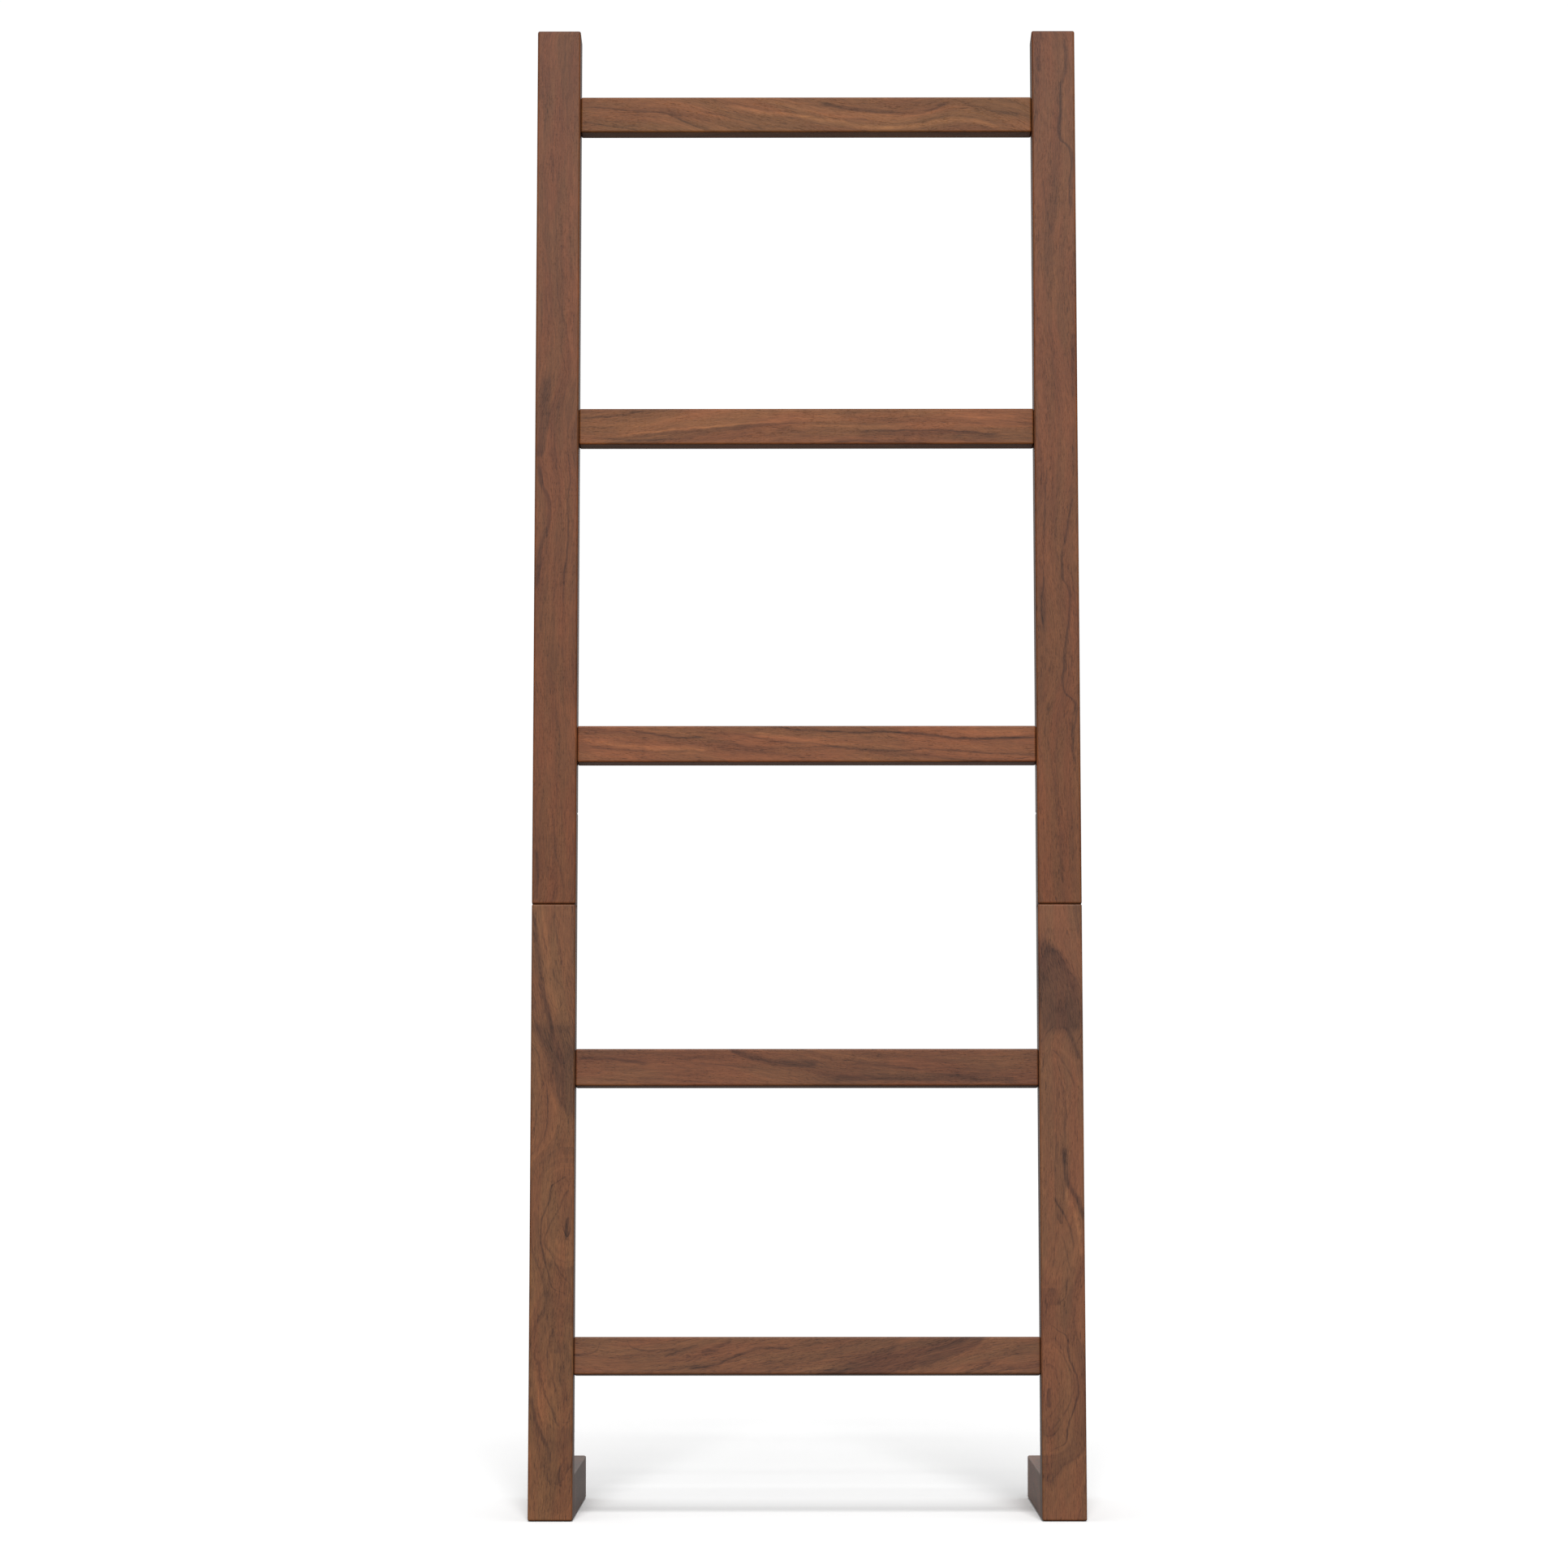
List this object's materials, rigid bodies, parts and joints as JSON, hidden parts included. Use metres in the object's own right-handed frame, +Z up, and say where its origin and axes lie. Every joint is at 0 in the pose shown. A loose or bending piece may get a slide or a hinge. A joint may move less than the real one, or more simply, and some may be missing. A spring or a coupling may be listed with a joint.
{
  "type": "library ladder",
  "caption": "Free-standing leaning ladder in walnut: two square stiles, each in two lengths joined by a half-lap, flat rungs between them, and a foot along the floor behind each stile.",
  "frame": {"origin": "on the floor, at the middle of the ladder's footprint", "axes": "+X to the right of someone who faces the ladder, +Y towards its back, the way it leans, +Z up"},
  "size_m": [0.5554, 0.3698, 1.5243],
  "materials": {
    "walnut_stile": "satin oil, straight to cathedral grain along the stile",
    "walnut_rung": "satin oil, wavy grain along the rung",
    "walnut_foot": "satin oil, grain along the foot",
    "beech_dowel": "unfinished, fluted",
    "dark_steel": "black oxide",
    "zinc_steel": "bright zinc",
    "brass_insert": "turned",
    "rubber_pad": "matt"
  },
  "bodies": {
    "root": {"rung_1": "walnut_rung", "rung_1_dowels": "beech_dowel", "rung_2": "walnut_rung", "rung_2_dowels": "beech_dowel", "rung_3": "walnut_rung", "rung_3_dowels": "beech_dowel", "rung_4": "walnut_rung", "rung_4_dowels": "beech_dowel", "rung_5": "walnut_rung", "rung_5_dowels": "beech_dowel", "upper_stile_left": "walnut_stile", "lower_stile_left": "walnut_stile", "foot_left": "walnut_foot", "foot_dowels_left": "beech_dowel", "lap_bolts_left": "dark_steel", "lap_inserts_left": "brass_insert", "cam_bolt_left": "zinc_steel", "cam_lock_left": "zinc_steel", "front_pad_left": "rubber_pad", "rear_pad_left": "rubber_pad", "upper_stile_right": "walnut_stile", "lower_stile_right": "walnut_stile", "foot_right": "walnut_foot", "foot_dowels_right": "beech_dowel", "lap_bolts_right": "dark_steel", "lap_inserts_right": "brass_insert", "cam_bolt_right": "zinc_steel", "cam_lock_right": "zinc_steel", "front_pad_right": "rubber_pad", "rear_pad_right": "rubber_pad"}
  },
  "joints": []
}
